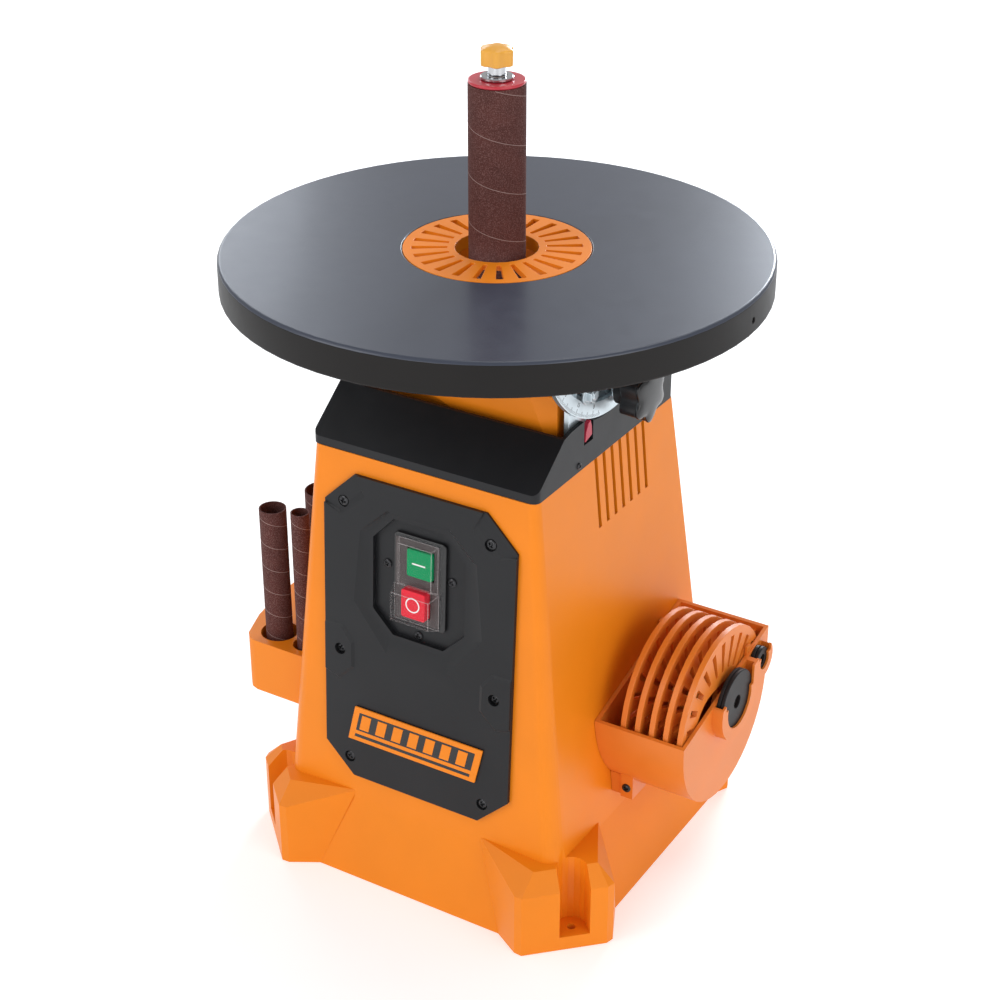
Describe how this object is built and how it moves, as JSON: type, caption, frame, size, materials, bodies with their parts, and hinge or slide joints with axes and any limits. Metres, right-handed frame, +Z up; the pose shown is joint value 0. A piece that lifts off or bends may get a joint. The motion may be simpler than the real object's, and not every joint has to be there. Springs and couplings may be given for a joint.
{
  "type": "oscillating spindle sander",
  "caption": "Bench sander with a rotating, oscillating vertical drum through a round tilting table on a tapered housing, with side racks for spare sleeves and inserts.",
  "frame": {"origin": "on the bench plane, under the spindle axis", "axes": "+X to the operator's right, -Y towards the operator (switch panel side), +Z up along the spindle"},
  "size_m": [0.37, 0.37, 0.596],
  "materials": {
    "orange_plastic": "moulded, satin",
    "black_plastic": "moulded, matt",
    "table_coating": "textured powder coat",
    "zinc": "bright zinc plate",
    "steel": "ground",
    "dark_steel": "painted",
    "cast_metal": "as cast",
    "red_rubber": "smooth",
    "black_rubber": "smooth",
    "abrasive": "aluminium oxide grit on cloth",
    "yellow_plastic": "moulded",
    "green_plastic": "moulded",
    "red_plastic": "moulded",
    "clear_plastic": "clear flexible boot",
    "copper": "varnished windings",
    "bronze": "machined"
  },
  "bodies": {
    "frame": {"body_shell": "orange_plastic", "base_plate": "dark_steel", "top_cover": "black_plastic", "frame_plate": "cast_metal", "front_panel": "black_plastic", "switch_body": "black_plastic", "switch_boot": "clear_plastic", "badge_plate": "orange_plastic", "trunnion_bracket_right": "zinc", "trunnion_bracket_left": "zinc", "guide_bolt_right": "zinc", "guide_bolt_left": "zinc", "guide_rod_right": "steel", "guide_rod_left": "steel", "tilt_pointer": "red_plastic", "dust_hood": "orange_plastic", "dust_port": "black_plastic", "lower_frame": "dark_steel", "start_capacitor": "black_plastic", "cord_gland": "black_plastic", "insert_holder": "orange_plastic", "sleeve_rack": "orange_plastic"},
    "tilting_table": {"table": "table_coating", "trunnion_right": "zinc", "trunnion_left": "zinc", "table_insert": "orange_plastic"},
    "motor": {"motor_carriage": "cast_metal", "motor_casing": "dark_steel", "motor_stator": "copper", "motor_end_bell": "cast_metal", "upper_bearing": "steel", "lower_bearing": "steel"},
    "spindle": {"spindle_shaft": "steel", "motor_rotor": "steel", "motor_fan": "black_plastic", "rubber_drum": "red_rubber", "sanding_sleeve": "abrasive", "spindle_washer": "zinc"},
    "top_knob": {"spindle_knob": "yellow_plastic"},
    "worm_gear": {"worm_wheel": "bronze"},
    "lock_right": {"lock_knob_right": "black_plastic"},
    "lock_left": {"lock_knob_left": "black_plastic"},
    "start": {"start_button": "green_plastic"},
    "stop": {"stop_button": "red_plastic"},
    "sleeve_19": {"stored_sleeve_19": "abrasive"},
    "sleeve_13": {"stored_sleeve_13": "abrasive"},
    "sleeve_26": {"stored_sleeve_26": "abrasive"},
    "insert_1": {"stored_insert_1": "orange_plastic"},
    "insert_2": {"stored_insert_2": "orange_plastic"},
    "insert_3": {"stored_insert_3": "orange_plastic"},
    "insert_4": {"stored_insert_4": "orange_plastic"},
    "insert_5": {"stored_insert_5": "orange_plastic"},
    "large_washer_1": {"large_washer_1": "black_rubber"},
    "large_washer_2": {"large_washer_2": "black_rubber"},
    "small_washer_1": {"small_washer_1": "black_rubber"},
    "small_washer_2": {"small_washer_2": "black_rubber"}
  },
  "joints": [
    {"name": "table_tilt", "type": "hinge", "parent": "frame", "child": "tilting_table", "pos_m": [0, 0, 0.4595], "axis": [1, 0, 0], "range_deg": [0, 45]},
    {"name": "spindle_oscillate", "type": "slide", "parent": "frame", "child": "motor", "axis": [0, 0, 1], "range_m": [-0.008, 0.008]},
    {"name": "spindle_spin", "type": "hinge", "parent": "motor", "child": "spindle", "pos_m": [0, 0, 0.5], "axis": [0, 0, 1], "continuous": true},
    {"name": "worm_wheel_turn", "type": "hinge", "parent": "motor", "child": "worm_gear", "pos_m": [0, 0.033, 0.108], "axis": [1, 0, 0], "continuous": true},
    {"name": "top_knob_turn", "type": "hinge", "parent": "spindle", "child": "top_knob", "pos_m": [0, 0, 0.58], "axis": [0, 0, 1], "range_deg": [0, 360]},
    {"name": "lock_right_turn", "type": "hinge", "parent": "frame", "child": "lock_right", "pos_m": [0.1, 0.005, 0.37825], "axis": [1, 0, 0], "range_deg": [0, 180]},
    {"name": "lock_left_turn", "type": "hinge", "parent": "frame", "child": "lock_left", "pos_m": [-0.1, 0.005, 0.37825], "axis": [-1, 0, 0], "range_deg": [0, 180]},
    {"name": "start_press", "type": "slide", "parent": "frame", "child": "start", "axis": [0, 0.9985, -0.0549], "range_m": [0, 0.0025], "stiffness_N_per_m": 600, "springref_m": -0.0015},
    {"name": "stop_press", "type": "slide", "parent": "frame", "child": "stop", "axis": [0, 0.9985, -0.0549], "range_m": [0, 0.0025], "stiffness_N_per_m": 600, "springref_m": -0.0015},
    {"name": "sleeve_19_lift", "type": "slide", "parent": "frame", "child": "sleeve_19", "axis": [0, 0, 1], "range_m": [0, 0.045]},
    {"name": "sleeve_13_lift", "type": "slide", "parent": "frame", "child": "sleeve_13", "axis": [0, 0, 1], "range_m": [0, 0.045]},
    {"name": "sleeve_26_lift", "type": "slide", "parent": "frame", "child": "sleeve_26", "axis": [0, 0, 1], "range_m": [0, 0.045]},
    {"name": "insert_1_lift", "type": "slide", "parent": "frame", "child": "insert_1", "axis": [0, 0, 1], "range_m": [0, 0.075]},
    {"name": "insert_2_lift", "type": "slide", "parent": "frame", "child": "insert_2", "axis": [0, 0, 1], "range_m": [0, 0.075]},
    {"name": "insert_3_lift", "type": "slide", "parent": "frame", "child": "insert_3", "axis": [0, 0, 1], "range_m": [0, 0.075]},
    {"name": "insert_4_lift", "type": "slide", "parent": "frame", "child": "insert_4", "axis": [0, 0, 1], "range_m": [0, 0.075]},
    {"name": "insert_5_lift", "type": "slide", "parent": "frame", "child": "insert_5", "axis": [0, 0, 1], "range_m": [0, 0.075]},
    {"name": "large_washer_1_lift", "type": "slide", "parent": "frame", "child": "large_washer_1", "axis": [0, 0, 1], "range_m": [0, 0.03]},
    {"name": "large_washer_2_lift", "type": "slide", "parent": "frame", "child": "large_washer_2", "axis": [0, 0, 1], "range_m": [0, 0.03]},
    {"name": "small_washer_1_lift", "type": "slide", "parent": "frame", "child": "small_washer_1", "axis": [0, 0, 1], "range_m": [0, 0.03]},
    {"name": "small_washer_2_lift", "type": "slide", "parent": "frame", "child": "small_washer_2", "axis": [0, 0, 1], "range_m": [0, 0.03]}
  ],
  "couplings": [
    {"joint": "worm_wheel_turn", "follows": "spindle_spin", "ratio": 0.029412}
  ]
}
